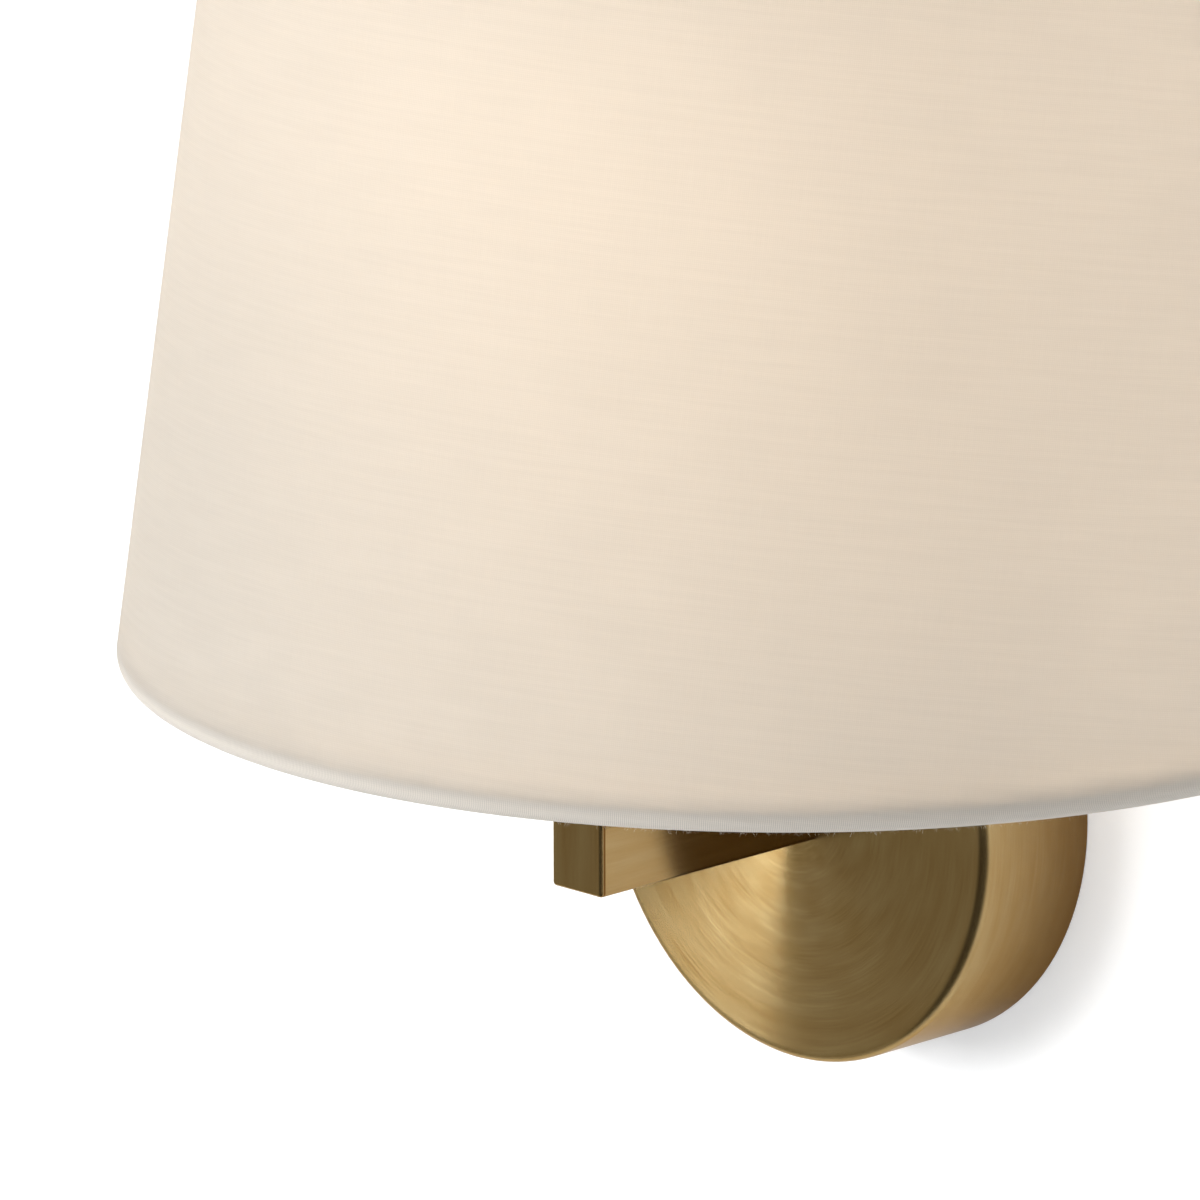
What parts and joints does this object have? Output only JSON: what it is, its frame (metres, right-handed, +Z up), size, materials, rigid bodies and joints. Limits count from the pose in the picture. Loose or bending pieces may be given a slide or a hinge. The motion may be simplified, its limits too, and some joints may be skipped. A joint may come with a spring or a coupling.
{
  "type": "fabric shade wall light",
  "caption": "Wall light with a half-round tapered fabric shade on a square brass arm, standing off a round brass wall plate.",
  "frame": {"origin": "on the wall at the axis of the round plate, midway between the two wall screws", "axes": "+Y into the wall, -Y into the room, +Z up, +X to the right seen from the room"},
  "size_m": [0.306, 0.189, 0.3024],
  "materials": {
    "brass": "aged brass with a fine spun or lengthwise brushed grain, satin lacquer",
    "brass_screw": "plain bright brass",
    "plated_steel": "zinc plated, dull",
    "white_plastic": "moulded, satin",
    "blue_insulation": "soft insulation",
    "brown_insulation": "soft insulation",
    "black_plastic": "moulded, heat resistant, semi-gloss",
    "holder_ceramic": "unglazed ceramic, as a matte material",
    "white_steel": "white powder coat",
    "lining": "stiff white sheet, matte",
    "shade_fabric": "fine plain-weave cotton, warm ivory, lit from inside",
    "opal_glass": "opal, lit",
    "bulb_cap_metal": "plated cap",
    "black_glass": "black insulator"
  },
  "bodies": {
    "fixture": {"wall_plate": "brass", "wall_bracket": "plated_steel", "plate_screws": "brass", "earth_screw": "brass_screw", "terminal_block": "white_plastic", "terminal_screws": "plated_steel", "neutral_lead": "blue_insulation", "live_lead": "brown_insulation", "arm": "brass", "arm_spigot": "brass", "spigot_washer": "plated_steel", "spigot_nut": "plated_steel", "post_nipple": "brass", "holder_cap": "black_plastic", "holder_body": "black_plastic", "holder_core": "holder_ceramic", "holder_thread": "brass_screw", "holder_spring": "brass_screw", "fitter_ring": "white_steel", "fitter_arm_left": "white_steel", "fitter_arm_right": "white_steel", "fitter_arm_front": "white_steel", "fitter_arm_back": "white_steel", "shade_rim_wire": "white_steel", "shade_top_wire": "white_steel", "shade_rim_back_wire": "white_steel", "shade_top_back_wire": "white_steel", "shade_upright_left": "white_steel", "shade_upright_right": "white_steel", "shade_lining": "lining", "shade_fabric": "shade_fabric"},
    "bulb": {"bulb_glass": "opal_glass", "bulb_cap": "bulb_cap_metal", "bulb_insulator": "black_glass", "bulb_contact": "bulb_cap_metal"},
    "shade_collar": {"shade_ring": "black_plastic"}
  },
  "joints": [
    {"name": "bulb_turn", "type": "hinge", "parent": "fixture", "child": "bulb", "pos_m": [0, -0.095, 0.091], "axis": [0, 0, 1], "range_deg": [0, 1080]},
    {"name": "collar_turn", "type": "hinge", "parent": "fixture", "child": "shade_collar", "pos_m": [0, -0.095, 0.07], "axis": [0, 0, 1], "range_deg": [0, 1440]}
  ]
}
